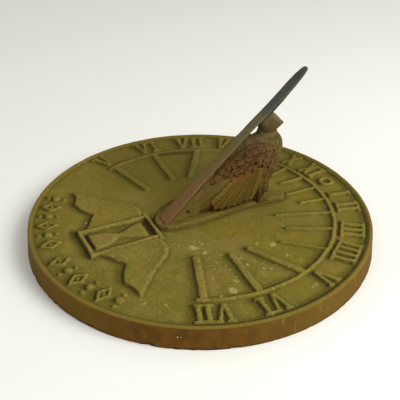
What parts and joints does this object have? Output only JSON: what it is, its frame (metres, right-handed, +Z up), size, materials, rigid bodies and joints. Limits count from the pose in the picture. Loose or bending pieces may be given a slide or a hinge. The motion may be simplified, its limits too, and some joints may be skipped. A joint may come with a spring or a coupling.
{
  "type": "garden sundial",
  "caption": "Round cast-iron garden sundial with raised Roman hours and a winged hourglass; a sloping style rests on a bird.",
  "frame": {"origin": "centre of the dial plate's resting edge, on the surface it stands on", "axes": "+Z up; +Y towards north (the noon line and the high end of the style); +X east (the afternoon hours)"},
  "size_m": [0.257, 0.257, 0.1204],
  "materials": {
    "dial_plate": "rough casting with olive verdigris patina and brown rust on the wall",
    "gnomon_foot": "rough casting, olive brown patina",
    "gnomon_style": "worn casting, dark slate grey at the tip and rust brown at the base",
    "bird": "rough casting, rust brown coverts and olive gold flight feathers",
    "fasteners": "weathered steel"
  },
  "bodies": {
    "root": {"dial_plate": "dial_plate", "gnomon_foot": "gnomon_foot", "gnomon_style": "gnomon_style", "bird": "bird", "gnomon_screws": "fasteners", "screw_washers": "fasteners"}
  },
  "joints": []
}
